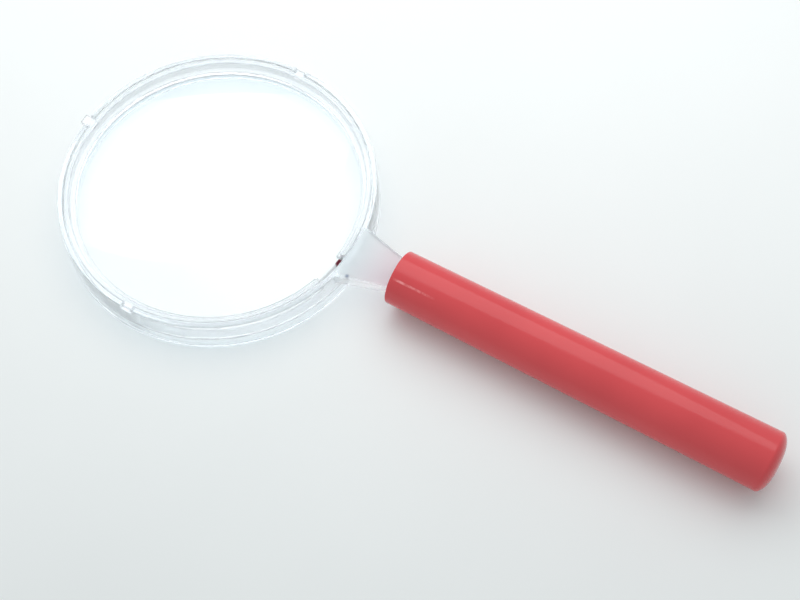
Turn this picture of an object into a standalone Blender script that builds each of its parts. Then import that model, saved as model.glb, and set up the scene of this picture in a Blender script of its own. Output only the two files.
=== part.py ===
"""Hand-held low vision magnifier: a clear ring and neck, a biconvex lens, a C-shaped retainer, a red handle.

World frame, in metres: +X from the lens towards the handle's closed end, +Z up along the lens axis.
The origin is the centre of the bounding box's bottom face, on the plane that the lens ring lies on.
Run with: blender --background --python part.py
"""
import math

import bmesh
import bpy
from mathutils import Matrix, Vector

MM = 0.001

# Driving dimensions.
LENS_DIAMETER = 90.0 * MM
LENS_EDGE = 2.8 * MM             # thickness of the lens at its rim
LENS_CURVE_RADIUS = 260.0 * MM   # radius of both faces
OPENING_RADIUS = 44.0 * MM       # clear opening on both sides of the lens
RING_HEIGHT = 12.0 * MM
WALL_RADIUS_TOP = 49.0 * MM      # outside of the ring wall, with moulding draft
WALL_RADIUS_BOTTOM = 49.6 * MM
WALL_INNER_RADIUS = 47.4 * MM
SEAT_THICKNESS = 1.5 * MM        # the shelf that the lens lies on
GAP = 0.3 * MM                   # clearance between neighbouring pieces
RIM_ROUND = 0.4 * MM             # broken edges of the ring

HANDLE_LENGTH = 120.8 * MM
HANDLE_END = 185.0 * MM          # from the lens axis to the closed end
HANDLE_RADIUS_NECK = 8.4 * MM
HANDLE_RADIUS_END = 9.1 * MM
HANDLE_AXIS_Z = 10.2 * MM
HANDLE_END_ROUND = 0.8 * MM
HANDLE_DOME = 2.0 * MM           # how far the closed end bulges
HANDLE_MOUTH_ROUND = 0.35 * MM
HANDLE_WALL = 1.7 * MM

NECK_THICKNESS = 3.6 * MM
NECK_HALF_WIDTH_RING = 8.8 * MM
NECK_HALF_WIDTH_HANDLE = 5.2 * MM
TANG_LENGTH = 66.0 * MM          # the part of the neck that is inside the handle
TANG_RIB_THICKNESS = 1.8 * MM
TANG_RIB_HALF_HEIGHT = 5.8 * MM
TANG_RIB_INSET = 5.0 * MM        # from the handle's mouth to the rib

LUG_WIDTH = 3.2 * MM
LUG_THICKNESS = 1.8 * MM
LUG_REACH = 48.7 * MM            # the two side lugs end inside the wall
PRY_TAB_REACH = 50.6 * MM        # the lug opposite the neck stands proud of the wall
SPLIT_ANGLES = (-16.0, -3.0)     # degrees about the lens axis, where the C-shaped retainer is open

RING_STEPS = 96
HANDLE_STEPS = 48
ARC_POINTS = 9                   # points on each face of the lens profile
ROUND_POINTS = 4                 # points on the corner of the handle's end, and on its dome

# Positions worked out from the dimensions.
RING_X = -(HANDLE_END - PRY_TAB_REACH) / 2
MOUTH_X = RING_X + HANDLE_END - HANDLE_LENGTH
LENS_MID_Z = RING_HEIGHT / 2
SEAT_TOP = LENS_MID_Z - LENS_EDGE / 2 - GAP
RETAINER_BOTTOM = LENS_MID_Z + LENS_EDGE / 2 + GAP
RETAINER_TOP = RING_HEIGHT - GAP
RETAINER_RADIUS = WALL_INNER_RADIUS - GAP
RETAINER_WALL = 1.5 * MM
LUG_BOTTOM = RETAINER_TOP - LUG_THICKNESS


def clear_scene():
    for old in list(bpy.data.objects):
        bpy.data.objects.remove(old, do_unlink=True)


def new_collection(name):
    made = bpy.data.collections.new(name)
    bpy.context.scene.collection.children.link(made)
    return made


def make_material(name, colour, roughness, transmission=0.0):
    material = bpy.data.materials.new(name)
    material.use_nodes = True
    shader = material.node_tree.nodes["Principled BSDF"]
    shader.inputs["Base Color"].default_value = (*colour, 1.0)
    shader.inputs["Roughness"].default_value = roughness
    shader.inputs["Metallic"].default_value = 0.0
    shader.inputs["Transmission Weight"].default_value = transmission
    return material


def add_object(name, mesh, collection, material=None):
    made = bpy.data.objects.new(name, mesh)
    collection.objects.link(made)
    if material:
        mesh.materials.append(material)
    return made


def turned(name, profile, closed, steps, collection, material):
    """Turn a profile of (radius, height) points about Z; it runs down its outer side."""
    mesh = bpy.data.meshes.new(name)
    points = [(radius, 0.0, height) for radius, height in profile]
    edges = [(i, i + 1) for i in range(len(points) - 1)]
    if closed:
        edges.append((len(points) - 1, 0))
    mesh.from_pydata(points, edges, [])
    made = add_object(name, mesh, collection, material)
    screw = made.modifiers.new("Turn", "SCREW")
    screw.axis = "Z"
    screw.steps = steps
    screw.render_steps = steps
    screw.use_merge_vertices = True
    screw.merge_threshold = 0.00001
    screw.use_smooth_shade = False
    return made


def block(name, size, centre, angle, collection):
    """A box of the given size, turned about Z by an angle, used to join or to cut."""
    mesh = bpy.data.meshes.new(name)
    shape = bmesh.new()
    bmesh.ops.create_cube(shape, size=1.0)
    bmesh.ops.scale(shape, vec=Vector(size), verts=shape.verts)
    shape.to_mesh(mesh)
    shape.free()
    made = add_object(name, mesh, collection)
    made.matrix_world = Matrix.Translation(Vector(centre)) @ Matrix.Rotation(angle, 4, "Z")
    made.hide_render = True
    made.display_type = "WIRE"
    return made


def plate(name, outline, thickness, mid_height, collection):
    """A flat plate: a filled 2D curve made into a closed mesh."""
    curve = bpy.data.curves.new(name + "_outline", "CURVE")
    curve.dimensions = "2D"
    curve.fill_mode = "BOTH"
    curve.extrude = thickness / 2
    spline = curve.splines.new("POLY")
    spline.points.add(len(outline) - 1)
    for point, (x, y) in zip(spline.points, outline):
        point.co = (x, y, 0.0, 1.0)
    spline.use_cyclic_u = True
    drawn = bpy.data.objects.new(name + "_outline", curve)
    collection.objects.link(drawn)
    drawn.location = (0.0, 0.0, mid_height)
    bpy.context.view_layer.update()
    evaluated = drawn.evaluated_get(bpy.context.evaluated_depsgraph_get())
    mesh = bpy.data.meshes.new_from_object(evaluated)
    shape = bmesh.new()
    shape.from_mesh(mesh)
    bmesh.ops.remove_doubles(shape, verts=shape.verts, dist=0.00001)
    bmesh.ops.recalc_face_normals(shape, faces=shape.faces)
    shape.to_mesh(mesh)
    shape.free()
    made = add_object(name, mesh, collection)
    made.matrix_world = drawn.matrix_world.copy()
    bpy.data.objects.remove(drawn, do_unlink=True)
    made.hide_render = True
    made.display_type = "WIRE"
    return made


def combine(target, other, operation):
    boolean = target.modifiers.new(operation.title() + " " + other.name, "BOOLEAN")
    boolean.operation = operation
    boolean.solver = "EXACT"
    boolean.object = other


def around_ring(radius, angle):
    """The world X and Y of a point at a radius and an angle about the lens axis."""
    return (RING_X + radius * math.cos(angle), radius * math.sin(angle))


def lens_face_height(radius):
    """Height of a lens face above the rim of that face, at a distance from the axis."""
    rim = LENS_DIAMETER / 2
    flat = math.sqrt(LENS_CURVE_RADIUS ** 2 - rim ** 2)
    return math.sqrt(LENS_CURVE_RADIUS ** 2 - radius ** 2) - flat


def make_lens(collection, material):
    rim = LENS_DIAMETER / 2
    radii = [rim * i / ARC_POINTS for i in range(ARC_POINTS + 1)]
    upper = [(r, LENS_MID_Z + LENS_EDGE / 2 + lens_face_height(r)) for r in radii]
    lower = [(r, LENS_MID_Z - LENS_EDGE / 2 - lens_face_height(r)) for r in reversed(radii)]
    lens = turned("lens", upper + lower, False, RING_STEPS, collection, material)
    lens.location.x = RING_X
    return lens


def frame_profile():
    """Ring wall with an inner shelf for the lens, and small chamfers on its four rims."""
    top = RING_HEIGHT
    seat_bottom = SEAT_TOP - SEAT_THICKNESS
    return [
        (WALL_RADIUS_TOP - RIM_ROUND, top),
        (WALL_RADIUS_TOP, top - RIM_ROUND),
        (WALL_RADIUS_BOTTOM, RIM_ROUND),
        (WALL_RADIUS_BOTTOM - RIM_ROUND, 0.0),
        (WALL_INNER_RADIUS, 0.0),
        (WALL_INNER_RADIUS, seat_bottom),
        (OPENING_RADIUS, seat_bottom),
        (OPENING_RADIUS, SEAT_TOP),
        (WALL_INNER_RADIUS, SEAT_TOP),
        (WALL_INNER_RADIUS, top),
    ]


def neck_outline():
    """Neck and tang in plan: its ring end is an arc inside the wall, then a taper, then a flat bar."""
    arc_radius = (WALL_RADIUS_TOP + WALL_INNER_RADIUS) / 2
    spread = math.asin(NECK_HALF_WIDTH_RING / arc_radius)
    outline = [around_ring(arc_radius, spread * (1 - i / 4)) for i in range(9)]
    outline.append((MOUTH_X, -NECK_HALF_WIDTH_HANDLE))
    outline.append((MOUTH_X + TANG_LENGTH, -NECK_HALF_WIDTH_HANDLE))
    outline.append((MOUTH_X + TANG_LENGTH, NECK_HALF_WIDTH_HANDLE))
    outline.append((MOUTH_X, NECK_HALF_WIDTH_HANDLE))
    return outline


def make_frame(collection, tools, material):
    frame = turned("lens_frame", frame_profile(), True, RING_STEPS, collection, material)
    frame.location.x = RING_X

    neck_mid = RING_HEIGHT - NECK_THICKNESS / 2
    neck = plate("neck_and_tang", neck_outline(), NECK_THICKNESS, neck_mid, tools)
    combine(frame, neck, "UNION")

    rib_length = TANG_LENGTH - TANG_RIB_INSET - 2 * MM
    rib_size = (rib_length, TANG_RIB_THICKNESS, 2 * TANG_RIB_HALF_HEIGHT)
    rib_centre = (MOUTH_X + TANG_RIB_INSET + rib_length / 2, 0.0, HANDLE_AXIS_Z)
    rib = block("tang_rib", rib_size, rib_centre, 0.0, tools)
    combine(frame, rib, "UNION")

    notch_bottom = LUG_BOTTOM - GAP
    notch_size = (6 * MM, LUG_WIDTH + 2 * GAP, RING_HEIGHT - notch_bottom + 1 * MM)
    for name, angle in (("left", math.pi / 2), ("right", -math.pi / 2), ("far", math.pi)):
        x, y = around_ring(WALL_INNER_RADIUS + 1.5 * MM, angle)
        centre = (x, y, notch_bottom + notch_size[2] / 2)
        notch = block("notch_" + name, notch_size, centre, angle, tools)
        combine(frame, notch, "DIFFERENCE")
    return frame


def retainer_profile():
    """L-shaped section: an upright wall, and a foot that presses on the rim of the lens."""
    foot_top = RETAINER_BOTTOM + SEAT_THICKNESS
    inner = RETAINER_RADIUS - RETAINER_WALL
    return [
        (RETAINER_RADIUS, RETAINER_TOP),
        (RETAINER_RADIUS, RETAINER_BOTTOM),
        (OPENING_RADIUS, RETAINER_BOTTOM),
        (OPENING_RADIUS, foot_top),
        (inner, foot_top),
        (inner, RETAINER_TOP),
    ]


def make_retainer(collection, tools, material):
    profile = retainer_profile()
    retainer = turned("retaining_ring", profile, True, RING_STEPS, collection, material)
    retainer.location.x = RING_X

    root = RETAINER_RADIUS - RETAINER_WALL / 2
    lugs = (("left", math.pi / 2, LUG_REACH), ("right", -math.pi / 2, LUG_REACH), ("pry", math.pi, PRY_TAB_REACH))
    for name, angle, reach in lugs:
        size = (reach - root, LUG_WIDTH, LUG_THICKNESS)
        x, y = around_ring((root + reach) / 2, angle)
        lug = block("lug_" + name, size, (x, y, LUG_BOTTOM + LUG_THICKNESS / 2), angle, tools)
        combine(retainer, lug, "UNION")

    first, last = (math.radians(angle) for angle in SPLIT_ANGLES)
    middle = (first + last) / 2
    width = 2 * RETAINER_RADIUS * math.sin((last - first) / 2)
    x, y = around_ring(OPENING_RADIUS + 1.5 * MM, middle)
    split = block("split", (8 * MM, width, RING_HEIGHT), (x, y, RETAINER_TOP), middle, tools)
    combine(retainer, split, "DIFFERENCE")
    return retainer


def handle_radius(distance):
    """Outer radius of the handle at a distance from its mouth."""
    share = distance / HANDLE_LENGTH
    return HANDLE_RADIUS_NECK + (HANDLE_RADIUS_END - HANDLE_RADIUS_NECK) * share


def handle_profile():
    """Domed closed end first, down the tapered outside to the mouth, then up the bore."""
    corner_radius = HANDLE_RADIUS_END - HANDLE_END_ROUND
    corner_height = HANDLE_LENGTH - HANDLE_DOME
    profile = []
    for i in range(ROUND_POINTS):
        share = i / ROUND_POINTS
        profile.append((corner_radius * share, HANDLE_LENGTH - HANDLE_DOME * share ** 2))
    for i in range(ROUND_POINTS + 1):
        turn = math.pi / 2 * i / ROUND_POINTS
        radius = corner_radius + HANDLE_END_ROUND * math.sin(turn)
        height = corner_height - HANDLE_END_ROUND * (1 - math.cos(turn))
        profile.append((radius, height))
    profile.append((handle_radius(HANDLE_MOUTH_ROUND), HANDLE_MOUTH_ROUND))
    profile.append((HANDLE_RADIUS_NECK - HANDLE_MOUTH_ROUND, 0.0))
    bore = HANDLE_RADIUS_NECK - HANDLE_WALL
    bore_end = corner_height - HANDLE_WALL
    profile.append((bore, 0.0))
    profile.append((bore, bore_end))
    profile.append((0.0, bore_end))
    return profile


def make_handle(collection, material):
    handle = turned("handle", handle_profile(), False, HANDLE_STEPS, collection, material)
    handle.rotation_euler.y = math.pi / 2
    handle.location = (MOUTH_X, 0.0, HANDLE_AXIS_Z)
    return handle


def main():
    clear_scene()
    parts = new_collection("low_vision_magnifier")
    tools = new_collection("cutters")
    clear = make_material("clear_plastic", (0.93, 0.96, 0.97), 0.05, 0.9)
    lens = make_material("lens_acrylic", (0.98, 0.99, 1.0), 0.01, 1.0)
    red = make_material("red_plastic", (0.72, 0.05, 0.06), 0.18)
    make_frame(parts, tools, clear)
    make_lens(parts, lens)
    make_retainer(parts, tools, clear)
    make_handle(parts, red)


main()
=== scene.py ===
# %% [markdown]
# # A hand-held low vision magnifier
#
# The real object is four mouldings: a clear ring with a flat neck, a thick lens, a C-shaped
# retainer that clamps the lens, and a glossy red handle pushed onto the neck. The CAD frame gives
# the size and the place of each. This lesson remakes every piece as a fine, smooth surface, because
# clear plastic shows each facet of a coarse mesh twice: once in its shading, once in its refraction.

# %% Load the frame
import math

import bmesh
import bpy
import numpy as np
from mathutils import Matrix, Vector


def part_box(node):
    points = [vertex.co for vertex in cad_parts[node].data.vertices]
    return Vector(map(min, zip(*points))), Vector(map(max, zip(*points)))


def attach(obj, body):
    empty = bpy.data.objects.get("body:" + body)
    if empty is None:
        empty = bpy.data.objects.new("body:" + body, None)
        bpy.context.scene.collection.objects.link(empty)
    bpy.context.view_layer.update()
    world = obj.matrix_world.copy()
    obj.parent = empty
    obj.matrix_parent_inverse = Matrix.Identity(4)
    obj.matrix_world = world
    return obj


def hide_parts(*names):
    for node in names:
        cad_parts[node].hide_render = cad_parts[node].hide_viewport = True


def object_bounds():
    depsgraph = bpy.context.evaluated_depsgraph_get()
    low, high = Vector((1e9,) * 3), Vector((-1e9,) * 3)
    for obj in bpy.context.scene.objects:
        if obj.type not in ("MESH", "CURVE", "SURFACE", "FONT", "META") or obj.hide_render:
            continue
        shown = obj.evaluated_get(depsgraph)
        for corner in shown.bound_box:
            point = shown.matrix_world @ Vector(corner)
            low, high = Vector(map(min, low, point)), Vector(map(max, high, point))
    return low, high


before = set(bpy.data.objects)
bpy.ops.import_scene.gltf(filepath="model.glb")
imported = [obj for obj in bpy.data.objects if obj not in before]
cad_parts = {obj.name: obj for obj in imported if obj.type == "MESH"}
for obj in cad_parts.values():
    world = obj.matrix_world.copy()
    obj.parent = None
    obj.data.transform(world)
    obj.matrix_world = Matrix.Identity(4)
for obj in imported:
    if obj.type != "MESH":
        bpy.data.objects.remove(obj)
cad_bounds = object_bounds()
MM = 0.001
BODY = "root"  # nothing moves, so every piece rides on one body
print("CAD box in mm:", [[round(v / MM, 1) for v in corner] for corner in cad_bounds])

# %% [markdown]
# ## Sizes from the frame
#
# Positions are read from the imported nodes, so the looks follow the design if a size changes. What a
# box can't tell, such as the width of the neck, is a named value here, the same as in the design.

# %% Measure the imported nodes
lens_low, lens_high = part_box("lens")
retainer_low, retainer_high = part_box("retaining_ring")
frame_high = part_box("lens_frame")[1]
handle_low, handle_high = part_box("handle")

GAP = 0.3 * MM
RING_X = (lens_low[0] + lens_high[0]) / 2
LENS_RADIUS = (lens_high[0] - lens_low[0]) / 2
LENS_MID_Z = (lens_low[2] + lens_high[2]) / 2
LENS_EDGE = 2 * (retainer_low[2] - GAP - LENS_MID_Z)
LENS_BULGE = lens_high[2] - LENS_MID_Z - LENS_EDGE / 2

RING_TOP = retainer_high[2] + GAP
WALL_RADIUS_BOTTOM = frame_high[1]
WALL_RADIUS_TOP = WALL_RADIUS_BOTTOM - 0.6 * MM
WALL_INNER = 47.4 * MM
OPENING = LENS_RADIUS - 1.0 * MM
SHELF = 1.5 * MM
SHELF_TOP = LENS_MID_Z - LENS_EDGE / 2 - GAP

RETAINER_RADIUS = WALL_INNER - GAP
RETAINER_WALL = 1.5 * MM
LUG_THICKNESS = 1.8 * MM
LUG_WIDTH = 3.2 * MM
SPLIT_DEGREES = (-16.0, -3.0)

MOUTH_X, HANDLE_END_X = handle_low[0], handle_high[0]
HANDLE_LENGTH = HANDLE_END_X - MOUTH_X
HANDLE_RADIUS_END = (handle_high[1] - handle_low[1]) / 2
HANDLE_RADIUS_NECK = HANDLE_RADIUS_END - 0.7 * MM
HANDLE_AXIS_Z = (handle_low[2] + handle_high[2]) / 2
HANDLE_WALL = 1.7 * MM

NECK_THICKNESS = 3.6 * MM
NECK_HALF_AT_RING = 8.8 * MM
NECK_HALF_AT_HANDLE = 5.2 * MM
TANG_END_X = frame_high[0]
TANG_RIB_HALF = frame_high[2] - HANDLE_AXIS_Z

print(f"lens {2 * LENS_RADIUS / MM:.1f} mm, ring {2 * WALL_RADIUS_BOTTOM / MM:.1f} mm across")
print(f"handle {HANDLE_LENGTH / MM:.1f} mm long, {2 * HANDLE_RADIUS_END / MM:.1f} mm thick at its end")

# %% [markdown]
# ## The camera
#
# The camera stands to the side of the handle and looks steeply down, with the lens at the upper
# left and the handle's end at the lower right. It is placed by an azimuth, an elevation and a
# distance about the point on the desk that it looks at, which is how a tripod is set up.

# %% Place the camera
CAMERA_AZIMUTH = math.radians(33.6)
CAMERA_ELEVATION = math.radians(62.6)
CAMERA_ROLL = math.radians(-3.84)
CAMERA_DISTANCE = 0.4287
CAMERA_TARGET = Vector((0.0, -4.6 * MM, 6.0 * MM))
FOCAL_LENGTH = 65.1

camera_data = bpy.data.cameras.new("camera")
camera_data.lens = FOCAL_LENGTH
camera_data.sensor_width = 36.0
camera_data.clip_start = 0.01
camera = bpy.data.objects.new("camera", camera_data)
bpy.context.scene.collection.objects.link(camera)
bpy.context.scene.camera = camera

turn = Matrix.Rotation(CAMERA_AZIMUTH, 4, "Z")
tilt = Matrix.Rotation(math.pi / 2 - CAMERA_ELEVATION, 4, "X")
roll = Matrix.Rotation(CAMERA_ROLL, 4, "Z")
back_off = Matrix.Translation((0.0, 0.0, CAMERA_DISTANCE))
camera.matrix_world = Matrix.Translation(CAMERA_TARGET) @ turn @ tilt @ back_off @ roll
print("camera at mm:", [round(v / MM, 1) for v in camera.matrix_world.translation])

# %% [markdown]
# ## Rounded profiles
#
# Every moulded edge is slightly round, and that small arc is what catches the light. A profile is
# written as its corners with a rounding each, and this helper turns each corner into an arc. Two
# extra points beside each arc keep the flat faces next to it flat in shading.


# %% A helper that rounds the corners of a profile
def rounded_profile(corners, closed=True, arc_points=7, guard=0.05 * MM):
    """Corners (a, b, rounding) become points: on the bisector of each corner lies the centre of a
    circle that touches both sides, at rounding / sin(half angle), and the arc runs between the
    two touching points, at rounding / tan(half angle) from the corner."""
    places = np.array([corner[:2] for corner in corners], float)
    made = []
    for i, (a, b, rounding) in enumerate(corners):
        if not closed and i in (0, len(corners) - 1):
            made.append(places[i][None])
            continue
        before = places[i - 1] - places[i]
        after = places[(i + 1) % len(corners)] - places[i]
        before = before / np.linalg.norm(before)
        after = after / np.linalg.norm(after)
        half = math.acos(np.clip(before @ after, -1, 1)) / 2
        reach = rounding / math.tan(half)
        bisector = (before + after) / np.linalg.norm(before + after)
        centre = places[i] + bisector * rounding / math.sin(half)
        first = places[i] + before * reach - centre
        last = places[i] + after * reach - centre
        share = np.linspace(0, 1, arc_points)[:, None]
        sweep = math.pi - 2 * half
        arc = (first * np.sin((1 - share) * sweep) + last * np.sin(share * sweep)) / math.sin(sweep)
        made.append((places[i] + before * (reach + guard))[None])
        made.append(centre + arc)
        made.append((places[i] + after * (reach + guard))[None])
    return np.concatenate(made)


square = [(0, 0, 1), (9, 0, 1), (9, 9, 1), (0, 9, 1)]
print("a square with 7-point corners has", len(rounded_profile(square)), "points")

# %% [markdown]
# ## From a grid of points to a mesh
#
# A turned or swept piece is a grid: one direction runs along the profile, the other along the path.
# Neighbouring points make the faces. The volume that the faces enclose tells whether they point
# outwards, so a grid that came out inside out is simply turned round.


# %% Helpers that build meshes
def grid_faces(rows, columns, wrap_rows, wrap_columns):
    """Corner numbers of the quads between neighbouring points of a rows x columns grid. Point
    (i, j) has the number i * columns + j, and a direction that wraps joins its last point to its
    first."""
    i = np.arange(rows if wrap_rows else rows - 1)[:, None]
    j = np.arange(columns if wrap_columns else columns - 1)[None]
    after_i, after_j = (i + 1) % rows, (j + 1) % columns
    corners = (
        i * columns + j,
        after_i * columns + j,
        after_i * columns + after_j,
        i * columns + after_j,
    )
    return np.stack(np.broadcast_arrays(*corners), -1).reshape(-1, 4)


def enclosed_volume(points, faces):
    """Sum over fans of triangles of the signed volume of the tetrahedra to the origin."""
    total = 0.0
    for face_set in faces:
        for k in range(1, face_set.shape[1] - 1):
            a, b, c = (points[face_set[:, n]] for n in (0, k, k + 1))
            total += np.einsum("ij,ij->i", a, np.cross(b, c)).sum() / 6
    return total


def build_mesh(name, points, faces, sharp_degrees=32.0):
    """Make one smooth-shaded mesh object from points and a list of face arrays. If the volume that
    they enclose is below nought, every face is turned round."""
    points = points.reshape(-1, 3)
    if enclosed_volume(points, faces) < 0:
        faces = [face_set[:, ::-1] for face_set in faces]
    mesh = bpy.data.meshes.new(name)
    listed = [tuple(face) for face_set in faces for face in face_set.tolist()]
    mesh.from_pydata(points.tolist(), [], listed)
    mesh.validate()
    mesh.shade_smooth()
    mesh.set_sharp_from_angle(angle=math.radians(sharp_degrees))
    made = bpy.data.objects.new(name, mesh)
    bpy.context.scene.collection.objects.link(made)
    return made


def turned_piece(name, profile, steps, place, poles=False):
    """Turn (radius, height) points about the height axis: a point at an angle is at radius * cos,
    radius * sin and height, and place() sends it into the world. The profile is a closed loop, or
    with poles it starts and ends on the axis and is closed there by fans."""
    angle = np.linspace(0, 2 * np.pi, steps, endpoint=False)[:, None]
    ring = profile[1:-1] if poles else profile
    radius, height = ring[:, 0][None], ring[:, 1][None]
    grid = place(radius * np.cos(angle), radius * np.sin(angle), height + 0 * angle)
    faces = [grid_faces(steps, len(ring), True, not poles)]
    points = grid.reshape(-1, 3)
    if poles:
        ends = place(np.zeros(2), np.zeros(2), profile[[0, -1], 1])
        points = np.concatenate([points, ends])
        start = np.arange(steps) * len(ring)
        after = np.roll(start, -1)
        top, bottom = np.full(steps, len(points) - 2), np.full(steps, len(points) - 1)
        last = len(ring) - 1
        faces.append(np.stack([top, after, start], 1))
        faces.append(np.stack([bottom, start + last, after + last], 1))
    return build_mesh(name, points, faces)


def at_lens(x, y, z):
    """Places of a piece turned about the lens axis."""
    return np.stack(np.broadcast_arrays(RING_X + x, y, z), -1)


def on_handle(a, b, along):
    """Places of a piece turned about the handle's axis, with its height along the handle."""
    return np.stack(np.broadcast_arrays(MOUTH_X + along, a, HANDLE_AXIS_Z + b), -1)


def combine(base, other, operation):
    """Join or cut with another closed mesh, keep the result as the base's own mesh."""
    boolean = base.modifiers.new("combine", "BOOLEAN")
    boolean.operation = operation
    boolean.solver = "EXACT"
    boolean.object = other
    evaluated = base.evaluated_get(bpy.context.evaluated_depsgraph_get())
    result = bpy.data.meshes.new_from_object(evaluated)
    base.modifiers.clear()
    base.data = result
    bpy.data.objects.remove(other, do_unlink=True)


def soft_block(name, size, centre, angle, rounding):
    """A box with rounded edges, or sharp ones if the rounding is nought, turned about Z."""
    mesh = bpy.data.meshes.new(name)
    shape = bmesh.new()
    bmesh.ops.create_cube(shape, size=1.0)
    bmesh.ops.scale(shape, vec=Vector(size), verts=shape.verts)
    if rounding:
        bmesh.ops.bevel(
            shape, geom=shape.edges[:], offset=rounding, segments=4, profile=0.5, affect="EDGES"
        )
    shape.transform(Matrix.Translation(Vector(centre)) @ Matrix.Rotation(angle, 4, "Z"))
    shape.to_mesh(mesh)
    shape.free()
    made = bpy.data.objects.new(name, mesh)
    bpy.context.scene.collection.objects.link(made)
    return made


def finish_shading(piece, sharp_degrees=32.0):
    """Smooth shading with creases, after the last cut. Every edge of a closed piece has exactly two
    faces, so the count of the others should be nought."""
    mesh = piece.data
    mesh.shade_smooth()
    mesh.set_sharp_from_angle(angle=math.radians(sharp_degrees))
    edge_of_corner = np.empty(len(mesh.loops), np.int32)
    mesh.loops.foreach_get("edge_index", edge_of_corner)
    open_edges = int((np.bincount(edge_of_corner, minlength=len(mesh.edges)) != 2).sum())
    print(piece.name, "has", len(mesh.polygons), "faces and", open_edges, "open edges")


# %% [markdown]
# ## The lens
#
# A magnifier lens is two shallow spherical caps on a short cylinder. The cap's height at a distance
# from the axis comes from the circle through its rim and its crown. The rim has a tiny chamfer, as
# a moulded or ground lens does, and it shows as a fine line just inside the ring.


# %% Make the lens
def cap_height(distance, rim, bulge):
    """Height of a spherical cap above its rim: the sphere's radius is (rim² + bulge²) / (2 bulge)."""
    sphere = (rim**2 + bulge**2) / (2 * bulge)
    return np.sqrt(sphere**2 - distance**2) - (sphere - bulge)


LENS_CHAMFER = 0.25 * MM
LENS_STEPS = 360
face_radius = LENS_RADIUS - LENS_CHAMFER
distances = np.linspace(0, face_radius, 49)
face_height = LENS_MID_Z + LENS_EDGE / 2 + cap_height(distances, face_radius, LENS_BULGE)
upper = np.stack([distances, face_height], 1)
lower = np.stack([upper[::-1, 0], 2 * LENS_MID_Z - upper[::-1, 1]], 1)
side = np.linspace(1, -1, 5)[:, None] * [0, LENS_EDGE / 2 - LENS_CHAMFER] + [LENS_RADIUS, LENS_MID_Z]
lens_profile = np.concatenate([upper, side, lower])
lens = turned_piece("clear_lens", lens_profile, LENS_STEPS, at_lens, poles=True)
finish_shading(lens)

# %% [markdown]
# ## The ring and its neck
#
# One clear moulding. The ring's section is a wall with a shelf inside for the lens, turned about the
# lens axis. The neck is a flat plate that narrows from the ring to the handle and goes on inside it
# as a bar, the tang, so its outline is a half-width along the handle, mirrored.


# %% Make the ring
RIM_ROUND = 0.4 * MM
SMALL_ROUND = 0.2 * MM
RING_STEPS = 600
ring_corners = [
    (WALL_RADIUS_TOP, RING_TOP, RIM_ROUND),
    (WALL_RADIUS_BOTTOM, 0.0, RIM_ROUND),
    (WALL_INNER, 0.0, RIM_ROUND),
    (WALL_INNER, SHELF_TOP - SHELF, SMALL_ROUND),
    (OPENING, SHELF_TOP - SHELF, SMALL_ROUND),
    (OPENING, SHELF_TOP, SMALL_ROUND),
    (WALL_INNER, SHELF_TOP, SMALL_ROUND),
    (WALL_INNER, RING_TOP, RIM_ROUND),
]
ring_profile = rounded_profile(ring_corners)
ring = turned_piece("clear_ring_and_neck", ring_profile, RING_STEPS, at_lens)
print("ring section has", len(ring_profile), "points")

# %% [markdown]
# ## The neck and the tang
#
# A flat plate in the same moulding as the ring. It could be a box pulled to shape by hand, but an
# outline from a half-width along the handle can be set exactly, and rings of that outline, each a
# little smaller near the two faces, give it a rounded edge. Its root is an arc inside the ring wall,
# so the union has no thin gap to close. A rib along the tang fills the handle's bore.


# %% Make the neck and join it
def neck_half_width(reach, wider=0.0):
    """Half-width of the neck at a distance from the lens axis: a straight taper from the ring to
    the handle's mouth, then a bar, with a small flare where it leaves the ring wall. One side can
    be wider at the ring."""
    mouth = MOUTH_X - RING_X
    share = np.clip((reach - WALL_RADIUS_TOP) / (mouth - WALL_RADIUS_TOP), 0, 1)
    taper = NECK_HALF_AT_RING + (NECK_HALF_AT_HANDLE - NECK_HALF_AT_RING) * share
    flare = 0.7 * MM * np.exp(-np.maximum(reach - WALL_RADIUS_TOP * np.cos(0.2), 0) / (0.5 * MM))
    return taper + flare + wider * (1 - share)


def plate_from_outline(name, outline, low, high, rounding):
    """A flat plate with rounded edges: the outline is carried through rings that shrink by
    rounding * (1 - cos) while they rise by rounding * sin, and is closed by two flat faces."""
    count = len(outline)
    along = np.roll(outline, -1, 0) - np.roll(outline, 1, 0)
    inward = np.stack([-along[:, 1], along[:, 0]], 1) / np.linalg.norm(along, axis=1)[:, None]
    turn_angles = np.linspace(0, np.pi / 2, 5)
    shrink = rounding * (1 - np.cos(turn_angles))
    rise = rounding * (1 - np.sin(turn_angles))
    guard = [rounding + 0.05 * MM]
    insets = np.concatenate([guard, shrink[::-1], shrink, guard])
    heights = np.concatenate([[low], low + rise[::-1], high - rise, [high]])
    flat = outline[None] + inward[None] * insets[:, None, None]
    grid = np.concatenate([flat, np.broadcast_to(heights[:, None, None], flat.shape[:2] + (1,))], 2)
    rows = len(insets)
    ends = [np.arange(count)[None], np.arange(count)[None, ::-1] + (rows - 1) * count]
    return build_mesh(name, grid, [grid_faces(rows, count, False, True)] + ends)


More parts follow.
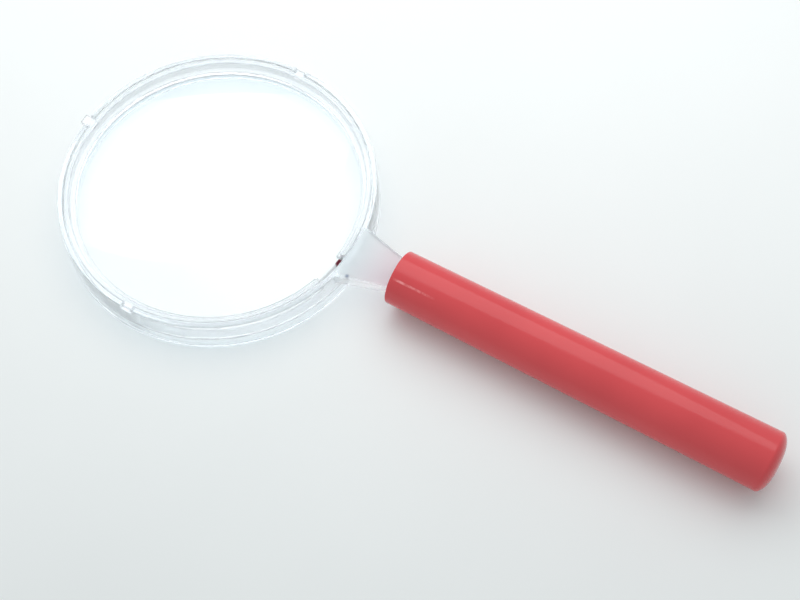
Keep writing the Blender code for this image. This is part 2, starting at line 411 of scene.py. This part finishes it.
NEAR_SIDE_WIDER = 0.9 * MM
root_radius = (WALL_INNER + WALL_RADIUS_TOP) / 2
root_half = float(neck_half_width(WALL_RADIUS_TOP)) - 0.2 * MM
root_y = np.linspace(root_half, -root_half - NEAR_SIDE_WIDER, 25)
root = np.stack([np.sqrt(root_radius**2 - root_y**2), root_y], 1)
reaches = np.concatenate([
    np.linspace(root[0, 0] + 0.3 * MM, MOUTH_X - RING_X, 40),
    np.linspace(MOUTH_X - RING_X + 2 * MM, TANG_END_X - RING_X, 12),
])
near_side = np.stack([reaches, -neck_half_width(reaches, NEAR_SIDE_WIDER)], 1)
far_side = np.stack([reaches[::-1], neck_half_width(reaches[::-1])], 1)
outline = np.concatenate([root, near_side, far_side]) + [RING_X, 0.0]
neck = plate_from_outline("neck", outline, RING_TOP - NECK_THICKNESS, RING_TOP, 0.3 * MM)
combine(ring, neck, "UNION")
print("neck outline has", len(outline), "points")

TANG_RIB_INSET, TANG_RIB_END = 5 * MM, 2 * MM
TANG_RIB_THICKNESS = 1.8 * MM
rib_start = MOUTH_X + TANG_RIB_INSET
rib_length = TANG_END_X - TANG_RIB_END - rib_start
rib_size = (rib_length, TANG_RIB_THICKNESS, 2 * TANG_RIB_HALF)
rib_middle = (rib_start + rib_length / 2, 0, HANDLE_AXIS_Z)
rib = soft_block("tang_rib", rib_size, rib_middle, 0.0, 0.3 * MM)
combine(ring, rib, "UNION")

# %% [markdown]
# ## Notches and the ejector mark
#
# Three notches in the wall take the retainer's lugs, so plain blocks are cut out of it. An ejector
# pin pushes a moulding out of its tool and leaves a shallow round pit, here under the neck. It is
# the cap of a small sphere, cut out of the plate.

# %% Cut the notches and the ejector mark
lug_bottom = retainer_high[2] - LUG_THICKNESS
notch_floor = lug_bottom - GAP
for angle in (math.pi / 2, -math.pi / 2, math.pi):
    middle = WALL_INNER + 1.5 * MM
    centre = (RING_X + middle * math.cos(angle), middle * math.sin(angle), notch_floor + 2 * MM)
    notch = soft_block("notch", (6 * MM, LUG_WIDTH + 2 * GAP, 4 * MM), centre, angle, 0.0)
    combine(ring, notch, "DIFFERENCE")
    print("notch cut at", round(math.degrees(angle)), "degrees")


def dimple(radius, depth, centre):
    """A shallow round pit: a sphere of radius (radius² + depth²) / (2 depth), sunk so that its cap
    is as deep as wanted."""
    sphere = (radius**2 + depth**2) / (2 * depth)
    sweep = np.linspace(0, np.pi, 33)
    profile = np.stack([sphere * np.sin(sweep), sphere * np.cos(sweep)], 1)
    x, y, z = centre
    return turned_piece("dimple", profile, 48, lambda a, b, c: np.stack(
        np.broadcast_arrays(x + a, y + b, z - sphere + depth + c), -1), poles=True)


EJECTOR_MARK = (RING_X + 51.3 * MM, -8.0 * MM, RING_TOP - NECK_THICKNESS)
combine(ring, dimple(0.6 * MM, 0.15 * MM, EJECTOR_MARK), "DIFFERENCE")
finish_shading(ring)

# %% [markdown]
# ## The retainer
#
# A C-shaped clip, split beside the neck so that it can be squeezed and sprung into the ring. Its
# section is an L: the foot presses on the lens and the upright hugs the wall. Two lugs sit in
# notches in the wall, and a third, opposite the neck, stands proud as a tab to pry it out with.


# %% Make the retainer
def swept_arc(name, profile, start_degrees, end_degrees, steps):
    """Carry a closed (radius, height) profile from one angle to another, each point at radius * cos,
    radius * sin and height, and close both ends with a flat face."""
    angle = np.radians(np.linspace(start_degrees, end_degrees, steps))[:, None]
    radius, height = profile[:, 0][None], profile[:, 1][None]
    grid = at_lens(radius * np.cos(angle), radius * np.sin(angle), height + 0 * angle)
    count = len(profile)
    ends = [np.arange(count)[None], np.arange(count)[None, ::-1] + (steps - 1) * count]
    return build_mesh(name, grid, [grid_faces(steps, count, False, True)] + ends)


retainer_low_z, retainer_top_z = retainer_low[2], retainer_high[2]
upright_inner = RETAINER_RADIUS - RETAINER_WALL
retainer_corners = [
    (RETAINER_RADIUS, retainer_top_z, 0.3 * MM),
    (RETAINER_RADIUS, retainer_low_z, SMALL_ROUND),
    (OPENING, retainer_low_z, SMALL_ROUND),
    (OPENING, retainer_low_z + SHELF, 0.3 * MM),
    (upright_inner, retainer_low_z + SHELF, SMALL_ROUND),
    (upright_inner, retainer_top_z, 0.3 * MM),
]
split_start, split_end = SPLIT_DEGREES
RETAINER_STEPS = 580
retainer_profile = rounded_profile(retainer_corners)
retainer = swept_arc(
    "clear_retainer", retainer_profile, split_end, 360 + split_start, RETAINER_STEPS
)

lug_root = RETAINER_RADIUS - RETAINER_WALL / 2
side_reach = retainer_high[1]
tab_reach = RING_X - retainer_low[0]
for angle, reach in ((math.pi / 2, side_reach), (-math.pi / 2, side_reach), (math.pi, tab_reach)):
    middle = (lug_root + reach) / 2
    centre = (RING_X + middle * math.cos(angle), middle * math.sin(angle), lug_bottom + LUG_THICKNESS / 2)
    lug = soft_block("lug", (reach - lug_root, LUG_WIDTH, LUG_THICKNESS), centre, angle, 0.35 * MM)
    combine(retainer, lug, "UNION")
finish_shading(retainer)

# %% [markdown]
# ## The handle
#
# A tube closed at its far end, a little thicker there than at the neck. Its closed end bulges, which
# lets the moulding shrink without a sink mark. The bulge is a superellipse: the radius and the
# height, each as a share of its full size, are a sine and a cosine raised to a power, so it runs
# into the side with no crease. Then come the long taper, the mouth and the bore.

# %% Make the handle
END_DEPTH = 2.9 * MM
END_SIDE_POWER, END_TIP_POWER = 2.8, 1.6
MOUTH_ROUND = 0.3 * MM
HANDLE_STEPS = 192
GATE_RADIUS, GATE_DEPTH = 1.3 * MM, 0.2 * MM

sweep = np.linspace(0.13, np.pi / 2, 26)
dome = np.stack([
    HANDLE_RADIUS_END * np.sin(sweep) ** (2 / END_SIDE_POWER),
    HANDLE_LENGTH - END_DEPTH * (1 - np.cos(sweep) ** (2 / END_TIP_POWER)),
], 1)
gate = [(0.0, HANDLE_LENGTH - GATE_DEPTH), (GATE_RADIUS, HANDLE_LENGTH - GATE_DEPTH)]
bore = HANDLE_RADIUS_NECK - HANDLE_WALL
bore_end = HANDLE_LENGTH - END_DEPTH - HANDLE_WALL / 2
inside = rounded_profile([
    (HANDLE_RADIUS_END, HANDLE_LENGTH - END_DEPTH, 0.0),
    (HANDLE_RADIUS_NECK, 0.0, MOUTH_ROUND),
    (bore, 0.0, MOUTH_ROUND),
    (bore, bore_end, 2 * MM),
    (0.0, bore_end, 0.0),
], closed=False, arc_points=9)[1:]
handle_profile = np.concatenate([gate, dome, inside])
handle = turned_piece("red_handle", handle_profile, HANDLE_STEPS, on_handle, poles=True)
print("handle profile has", len(handle_profile), "points")
finish_shading(handle, 40.0)


# %% [markdown]
# ## Materials
#
# Three finishes: water-clear moulded plastic, the optically clear lens, and glossy red plastic.
# Each reads Object coordinates, so its fine marks stay where they are on the piece. Clear pieces let
# lamp light straight through, as a thin clear wall does, which keeps their shadows pale. Light that
# has bounced about inside them many times is let out in the same way. Real light isn't, but a
# renderer gives up on it after a few bounces and leaves black, which looks further from the truth.


# %% Helpers for node materials
TRAPPED_BOUNCES = 4.0


def new_material(name):
    """A node material with its tree, its shader and a Texture Coordinate node."""
    material = bpy.data.materials.new(name)
    material.use_nodes = True
    tree = material.node_tree
    shader = tree.nodes["Principled BSDF"]
    coordinates = tree.nodes.new("ShaderNodeTexCoord")
    return material, tree, shader, coordinates


def noise_at(tree, coordinates, scale, detail=3.0, roughness=0.5, stretch=(1, 1, 1)):
    """A noise pattern on the piece's own coordinates, finer along some axes if stretched."""
    mapping = tree.nodes.new("ShaderNodeMapping")
    mapping.inputs["Scale"].default_value = stretch
    tree.links.new(coordinates.outputs["Object"], mapping.inputs["Vector"])
    noise = tree.nodes.new("ShaderNodeTexNoise")
    noise.inputs["Scale"].default_value = scale
    noise.inputs["Detail"].default_value = detail
    noise.inputs["Roughness"].default_value = roughness
    tree.links.new(mapping.outputs["Vector"], noise.inputs["Vector"])
    return noise


def spread(tree, source, low, high, to_low, to_high):
    """Stretch the middle of a pattern to a range of values."""
    change = tree.nodes.new("ShaderNodeMapRange")
    for socket, value in (("From Min", low), ("From Max", high), ("To Min", to_low), ("To Max", to_high)):
        change.inputs[socket].default_value = value
    tree.links.new(source, change.inputs["Value"])
    return change.outputs["Result"]


def arithmetic(tree, operation, first, second=0.0):
    """One Math node; each input is a number or another node's output."""
    node = tree.nodes.new("ShaderNodeMath")
    node.operation = operation
    for socket, value in zip(node.inputs, (first, second)):
        if isinstance(value, float):
            socket.default_value = value
        else:
            tree.links.new(value, socket)
    return node.outputs["Value"]


def blend_colours(tree, share, first, second):
    """A colour between two others; each is a colour or another node's output."""
    node = tree.nodes.new("ShaderNodeMix")
    node.data_type = "RGBA"
    tree.links.new(share, node.inputs["Factor"])
    for socket, value in ((node.inputs["A"], first), (node.inputs["B"], second)):
        if isinstance(value, tuple):
            socket.default_value = (*value, 1.0)
        else:
            tree.links.new(value, socket)
    return node.outputs["Result"]


def distance_from(tree, coordinates, centre, flat=True):
    """Distance of a point of the piece from a centre, or from the upright line through it."""
    place = tree.nodes.new("ShaderNodeMapping")
    place.inputs["Scale"].default_value = (1.0, 1.0, 0.0 if flat else 1.0)
    place.inputs["Location"].default_value = (-centre[0], -centre[1], 0.0 if flat else -centre[2])
    tree.links.new(coordinates.outputs["Object"], place.inputs["Vector"])
    length = tree.nodes.new("ShaderNodeVectorMath")
    length.operation = "LENGTH"
    tree.links.new(place.outputs["Vector"], length.inputs[0])
    return length.outputs["Value"]


def along_axes(tree, coordinates):
    """The x, y and z of a point of the piece, one output each."""
    split = tree.nodes.new("ShaderNodeSeparateXYZ")
    tree.links.new(coordinates.outputs["Object"], split.inputs["Vector"])
    return split.outputs["X"], split.outputs["Y"], split.outputs["Z"]


def add_bump(tree, shader, height, strength, distance):
    """Tilt the shading by the slope of a pattern, as if it stood that far off the surface."""
    bump = tree.nodes.new("ShaderNodeBump")
    bump.inputs["Strength"].default_value = strength
    bump.inputs["Distance"].default_value = distance
    tree.links.new(height, bump.inputs["Height"])
    tree.links.new(bump.outputs["Normal"], shader.inputs["Normal"])


def let_lamps_through(tree, shader, tint):
    """Shadow rays meet a tinted transparent surface, and so does light that has been trapped
    inside the piece for many bounces, which would otherwise end as black. Other rays meet the
    real shader."""
    output = tree.nodes["Material Output"]
    path = tree.nodes.new("ShaderNodeLightPath")
    open_surface = tree.nodes.new("ShaderNodeBsdfTransparent")
    open_surface.inputs["Color"].default_value = (*tint, 1.0)
    mix = tree.nodes.new("ShaderNodeMixShader")
    trapped = arithmetic(tree, "GREATER_THAN", path.outputs["Ray Depth"], TRAPPED_BOUNCES)
    through = arithmetic(tree, "MAXIMUM", path.outputs["Is Shadow Ray"], trapped)
    tree.links.new(through, mix.inputs["Fac"])
    tree.links.new(shader.outputs["BSDF"], mix.inputs[1])
    tree.links.new(open_surface.outputs["BSDF"], mix.inputs[2])
    tree.links.new(mix.outputs["Shader"], output.inputs["Surface"])

# %% [markdown]
# ## Clear moulded plastic
#
# The ring, the neck and the retainer are clear styrene. A plain glass shader would look like thin
# air, because a real moulding is a little milky and its walls carry slow waves from the flow of the
# melt. So most of its light passes and the rest is scattered, its polish drifts, and a faint bump
# bends what is seen through it. The neck is duller. Masks made from the piece's own coordinates
# keep that to the neck's faces and leave its edges clear.


# %% Clear moulded plastic
CLEAR_IOR = 1.53
CLEAR_SHARE, NECK_CLEAR_SHARE = 0.84, 0.78
POLISH = (0.04, 0.07)
NECK_DULLNESS = 0.3
CLEAR_LAMP_TINT = (0.88, 0.91, 0.93)
DULL_FROM, DULL_TO = RING_X + 45.5 * MM, RING_X + 48.5 * MM
TAPER_FROM = RING_X + 50 * MM
NECK_INSIDE, NECK_OUTSIDE = 9.0 * MM, 11.5 * MM
CLEAR_EDGE = 0.6 * MM
RING_TONE = (0.982, 0.988, 0.993)
NECK_TONE_AT_RING = (0.76, 0.79, 0.80)
# Near the handle the neck's grey carries painted red: a painted reflection of the red handle.
NECK_GREY_AND_PAINTED_RED_AT_HANDLE = (0.75, 0.61, 0.655)
# A dark blue-grey spot coloured in round the ejector mark.
EJECTOR_SPOT_TONE = (0.10, 0.13, 0.22)


def clear_plastic():
    """Clear styrene, a little milky. The neck's faces are dull: the product of masks in x, y and z, less
    near its edges, makes them rougher and greyer, with a painted reflection of the handle's red in them
    near the mouth. A small dark spot is coloured in round the ejector mark."""
    material, tree, shader, coordinates = new_material("clear_moulded_plastic")
    shader.inputs["IOR"].default_value = CLEAR_IOR
    x, y, z = along_axes(tree, coordinates)
    outwards = spread(tree, x, DULL_FROM, DULL_TO, 0.0, 1.0)
    half_width = arithmetic(tree, "ABSOLUTE", y)
    within = spread(tree, half_width, NECK_INSIDE, NECK_OUTSIDE, 1.0, 0.0)
    underside = RING_TOP - NECK_THICKNESS
    high = spread(tree, z, underside - 1.2 * MM, underside - 0.2 * MM, 0.0, 1.0)
    edge_line = spread(tree, x, TAPER_FROM, MOUTH_X, NECK_HALF_AT_RING, NECK_HALF_AT_HANDLE)
    from_edge = arithmetic(tree, "SUBTRACT", edge_line, half_width)
    inside_edge = spread(tree, from_edge, 0.0, CLEAR_EDGE, 0.15, 1.0)
    on_faces = arithmetic(tree, "MULTIPLY", arithmetic(tree, "MULTIPLY", outwards, within), high)
    beyond = arithmetic(tree, "MULTIPLY", on_faces, inside_edge)
    to_handle = spread(tree, x, TAPER_FROM, MOUTH_X, 0.0, 1.0)
    # Grey at the ring, turning into a painted reflection of the handle's red near the mouth.
    neck_tone_with_painted_red = blend_colours(tree, to_handle, NECK_TONE_AT_RING, NECK_GREY_AND_PAINTED_RED_AT_HANDLE)
    tone = blend_colours(tree, beyond, RING_TONE, neck_tone_with_painted_red)
    from_mark = distance_from(tree, coordinates, EJECTOR_MARK)
    # A small dark spot, coloured in round the ejector mark.
    ejector_spot = spread(tree, from_mark, 0.3 * MM, 0.9 * MM, 1.0, 0.0)
    tree.links.new(blend_colours(tree, ejector_spot, tone, EJECTOR_SPOT_TONE), shader.inputs["Base Color"])
    clearness = spread(tree, beyond, 0.0, 1.0, CLEAR_SHARE, NECK_CLEAR_SHARE)
    tree.links.new(clearness, shader.inputs["Transmission Weight"])
    haze = noise_at(tree, coordinates, 180.0, 4.0)
    polished = spread(tree, haze.outputs["Fac"], 0.3, 0.7, *POLISH)
    dulled = arithmetic(tree, "MULTIPLY", beyond, NECK_DULLNESS)
    tree.links.new(arithmetic(tree, "ADD", polished, dulled), shader.inputs["Roughness"])
    flow = noise_at(tree, coordinates, 45.0, 1.0, stretch=(1, 1, 0.4))
    add_bump(tree, shader, flow.outputs["Fac"], 0.05, 0.1 * MM)
    let_lamps_through(tree, shader, CLEAR_LAMP_TINT)
    return material

# %% [markdown]
# ## Lens acrylic
#
# The lens is clearer than the mouldings and bends light less. Its two faces are polished, with only
# the faintest rub marks, but its rim is ground and looks white. The distance from the lens axis
# tells faces from rim, so no second material is needed.


# %% Lens acrylic
LENS_IOR, LENS_MIRROR_LEVEL = 1.49, 0.25
FACE_TONE = (0.93, 0.945, 0.95)
LENS_LAMP_TINT = (0.97, 0.98, 0.99)
RIM_CLEARNESS = 0.15
# A dark red spot painted on the ground rim beside the neck: a painted reflection of the red handle, seen
# through the split.
RED_REFLECTION_SPOT = (RING_X + LENS_RADIUS - 0.2 * MM, -2.4 * MM, 0.0)
GROUND_FROM = LENS_RADIUS - 0.45 * MM
RIM_TONE = (0.93, 0.95, 0.96)
PAINTED_RED_REFLECTION_IN_RIM = (0.16, 0.008, 0.02)


def lens_acrylic():
    """Optically clear acrylic with the faintest rub marks. Its rim is ground white, and where the
    retainer is split that rim is in sight: beside the neck a dark red spot is painted on it, a painted
    reflection of the handle's red light."""
    material, tree, shader, coordinates = new_material("clear_lens_acrylic")
    shader.inputs["IOR"].default_value = LENS_IOR
    shader.inputs["Specular IOR Level"].default_value = LENS_MIRROR_LEVEL
    from_axis = distance_from(tree, coordinates, (RING_X, 0.0, 0.0))
    ground = spread(tree, from_axis, GROUND_FROM, GROUND_FROM + 0.15 * MM, 0.0, 1.0)
    from_spot = distance_from(tree, coordinates, RED_REFLECTION_SPOT)
    red_reflection_share = spread(tree, from_spot, 1.5 * MM, 2.1 * MM, 1.0, 0.0)
    rim_tone_with_painted_red = blend_colours(tree, red_reflection_share, RIM_TONE, PAINTED_RED_REFLECTION_IN_RIM)
    tone = blend_colours(tree, ground, FACE_TONE, rim_tone_with_painted_red)
    tree.links.new(tone, shader.inputs["Base Color"])
    clearness = spread(tree, ground, 0.0, 1.0, 1.0, RIM_CLEARNESS)
    tree.links.new(clearness, shader.inputs["Transmission Weight"])
    rubs = noise_at(tree, coordinates, 900.0, 2.0, stretch=(1, 0.08, 1))
    rubbed = spread(tree, rubs.outputs["Fac"], 0.6, 0.8, 0.0, 0.05)
    tree.links.new(arithmetic(tree, "MAXIMUM", rubbed, ground), shader.inputs["Roughness"])
    let_lamps_through(tree, shader, LENS_LAMP_TINT)
    return material

# %% [markdown]
# ## Red glossy plastic
#
# The handle is an opaque red moulding with a high gloss. Its gloss is what shows, so the detail goes
# there: slow waves bend its highlight, and fine scratches along its length dull it here and there.
# A painted highlight streak by the mouth, lighter and a little rougher, could be a texture, but a narrow
# mask in the angle round the handle puts it in its place along the handle, at any resolution.


# %% Red glossy plastic
RED_IOR, RED_MIRROR_LEVEL = 1.5, 0.32
RED_DARKER = (0.65, 0.072, 0.081)
RED_LIGHTER = (0.71, 0.081, 0.090)
# A light red painted along the handle from its mouth: a painted highlight streak.
HIGHLIGHT_STREAK_TONE = (0.95, 0.36, 0.36)
GLOSS = (0.13, 0.3)
HIGHLIGHT_STREAK_ANGLE = math.radians(-32.0)
HIGHLIGHT_STREAK_LENGTH = 15 * MM
HIGHLIGHT_STREAK_SHARE, HIGHLIGHT_STREAK_DULLNESS = 0.8, 0.3


def red_plastic():
    """Glossy red moulding: slow waves in the wall, hair-fine handling scratches, small colour drift.
    One painted highlight streak, lighter and a little rougher, runs along the handle from its mouth: a
    mask that is narrow in the angle about the handle's axis and broken up by noise."""
    material, tree, shader, coordinates = new_material("glossy_red_plastic")
    shader.inputs["Specular IOR Level"].default_value = RED_MIRROR_LEVEL
    shader.inputs["IOR"].default_value = RED_IOR
    x, y, z = along_axes(tree, coordinates)
    above_axis = arithmetic(tree, "SUBTRACT", z, HANDLE_AXIS_Z)
    angle = arithmetic(tree, "ARCTAN2", y, above_axis)
    # The painted highlight streak lies at one angle round the handle. It is short and broken up.
    off_highlight_streak = arithmetic(tree, "ABSOLUTE", arithmetic(tree, "SUBTRACT", angle, HIGHLIGHT_STREAK_ANGLE))
    narrow = spread(tree, off_highlight_streak, 0.02, 0.055, 1.0, 0.0)
    fading = spread(tree, x, MOUTH_X + 0.5 * HIGHLIGHT_STREAK_LENGTH, MOUTH_X + HIGHLIGHT_STREAK_LENGTH, 1.0, 0.0)
    starting = spread(tree, x, MOUTH_X + 0.8 * MM, MOUTH_X + 1.8 * MM, 0.0, 1.0)
    short = arithmetic(tree, "MULTIPLY", starting, fading)
    breaks = noise_at(tree, coordinates, 800.0, 3.0, 0.7)
    broken = spread(tree, breaks.outputs["Fac"], 0.42, 0.6, 0.25, 1.0)
    highlight_streak = arithmetic(tree, "MULTIPLY", arithmetic(tree, "MULTIPLY", narrow, short), broken)

    drift = noise_at(tree, coordinates, 40.0, 2.0)
    drifted = spread(tree, drift.outputs["Fac"], 0.3, 0.7, 0.0, 1.0)
    body = blend_colours(tree, drifted, RED_DARKER, RED_LIGHTER)
    painted_highlight_amount = arithmetic(tree, "MULTIPLY", highlight_streak, HIGHLIGHT_STREAK_SHARE)
    tree.links.new(blend_colours(tree, painted_highlight_amount, body, HIGHLIGHT_STREAK_TONE), shader.inputs["Base Color"])
    scratches = noise_at(tree, coordinates, 700.0, 3.0, stretch=(0.06, 1, 1))
    hairs = spread(tree, scratches.outputs["Fac"], 0.5, 0.8, *GLOSS)
    dulled = arithmetic(tree, "MULTIPLY", highlight_streak, HIGHLIGHT_STREAK_DULLNESS)
    tree.links.new(arithmetic(tree, "ADD", hairs, dulled), shader.inputs["Roughness"])
    waves = noise_at(tree, coordinates, 55.0, 1.0, stretch=(0.5, 1, 1))
    add_bump(tree, shader, waves.outputs["Fac"], 0.35, 0.25 * MM)
    return material

# %% [markdown]
# ## Dressing the pieces
#
# Each piece stands for one node of the CAD frame, rides on its body and takes one finish. The ring
# and the retainer are the same plastic, so they share a material.


# %% Dress the pieces
acrylic, clear, red = lens_acrylic(), clear_plastic(), red_plastic()
pieces = (
    (lens, "lens", "lens_acrylic", acrylic),
    (ring, "lens_frame", "clear_plastic", clear),
    (retainer, "retaining_ring", "clear_plastic", clear),
    (handle, "handle", "red_plastic", red),
)
for piece, node, slot, material in pieces:
    piece.data.materials.clear()
    piece.data.materials.append(material)
    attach(piece, BODY)
    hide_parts(node)
    print(f"{piece.name} stands for {node}, finished in {piece.data.materials[0].name}")

# %% [markdown]
# ## The desk
#
# A plain pale desk, far wider than the object, so that its edge is out of sight from most sides. It
# lies a hair below the ring, because two surfaces at one height would flicker through each other.


# %% Make the desk
def desk_material():
    """Pale laminate, almost white, with a broad, barely visible mottle."""
    material, tree, shader, coordinates = new_material("pale_desk")
    mottle = noise_at(tree, coordinates, 9.0, 4.0)
    colours = tree.nodes.new("ShaderNodeValToRGB")
    colours.color_ramp.elements[0].position = 0.35
    colours.color_ramp.elements[0].color = (0.845, 0.865, 0.86, 1.0)
    colours.color_ramp.elements[1].position = 0.65
    colours.color_ramp.elements[1].color = (0.865, 0.885, 0.88, 1.0)
    tree.links.new(mottle.outputs["Fac"], colours.inputs["Fac"])
    tree.links.new(colours.outputs["Color"], shader.inputs["Base Color"])
    shader.inputs["Roughness"].default_value = 0.6
    shader.inputs["Specular IOR Level"].default_value = 0.2
    return material


DESK_HALF = 4.0
DESK_BELOW = 0.05 * MM
desk_mesh = bpy.data.meshes.new("desk")
signs = [(-1, -1), (1, -1), (1, 1), (-1, 1)]
desk_z = cad_bounds[0][2] - DESK_BELOW
desk_corners = [(DESK_HALF * along_x, DESK_HALF * along_y, desk_z) for along_x, along_y in signs]
desk_mesh.from_pydata(desk_corners, [], [(0, 1, 2, 3)])
desk_mesh.materials.append(desk_material())
desk = bpy.data.objects.new("desk", desk_mesh)
bpy.context.scene.collection.objects.link(desk)
print(f"desk {2 * DESK_HALF:.0f} m wide")

# %% [markdown]
# ## The light
#
# One large soft panel hangs over the desk behind the ring, like a window. Clear plastic has no
# colour of its own: what it shows is the edge between bright panel, white desk and the duller room,
# bent through its thickness, so the room is kept a little grey and blue.

# %% Light the scene
PANEL_CENTRE = Vector((-0.145, 0.205, 0.34))
PANEL_SIZE = (0.65, 0.46)
PANEL_TURN = math.radians(26.0)
PANEL_RADIANCE = 1.62
ROOM_OVERHEAD = (0.53, 0.555, 0.56, 1.0)
ROOM_LOW = (0.58, 0.63, 0.65, 1.0)

panel_data = bpy.data.lights.new("window_panel", "AREA")
panel_data.shape = "RECTANGLE"
panel_data.size, panel_data.size_y = PANEL_SIZE
panel_data.energy = PANEL_RADIANCE * math.pi * PANEL_SIZE[0] * PANEL_SIZE[1]
panel = bpy.data.objects.new("window_panel", panel_data)
panel.location = PANEL_CENTRE
panel.rotation_euler = (0.0, 0.0, PANEL_TURN)
bpy.context.scene.collection.objects.link(panel)

world = bpy.data.worlds.new("room")
world.use_nodes = True
bpy.context.scene.world = world
world_tree = world.node_tree
sky_direction = world_tree.nodes.new("ShaderNodeTexCoord")
height = world_tree.nodes.new("ShaderNodeSeparateXYZ")
world_tree.links.new(sky_direction.outputs["Generated"], height.inputs["Vector"])
room_colours = world_tree.nodes.new("ShaderNodeValToRGB")
room_colours.color_ramp.elements[0].position = 0.1
room_colours.color_ramp.elements[0].color = ROOM_LOW
room_colours.color_ramp.elements[1].position = 0.75
room_colours.color_ramp.elements[1].color = ROOM_OVERHEAD
world_tree.links.new(height.outputs["Z"], room_colours.inputs["Fac"])
world_tree.links.new(room_colours.outputs["Color"], world_tree.nodes["Background"].inputs["Color"])
bpy.context.scene.view_settings.view_transform = "Standard"
print(f"one panel of {panel_data.energy:.1f} W and a dimmer room")
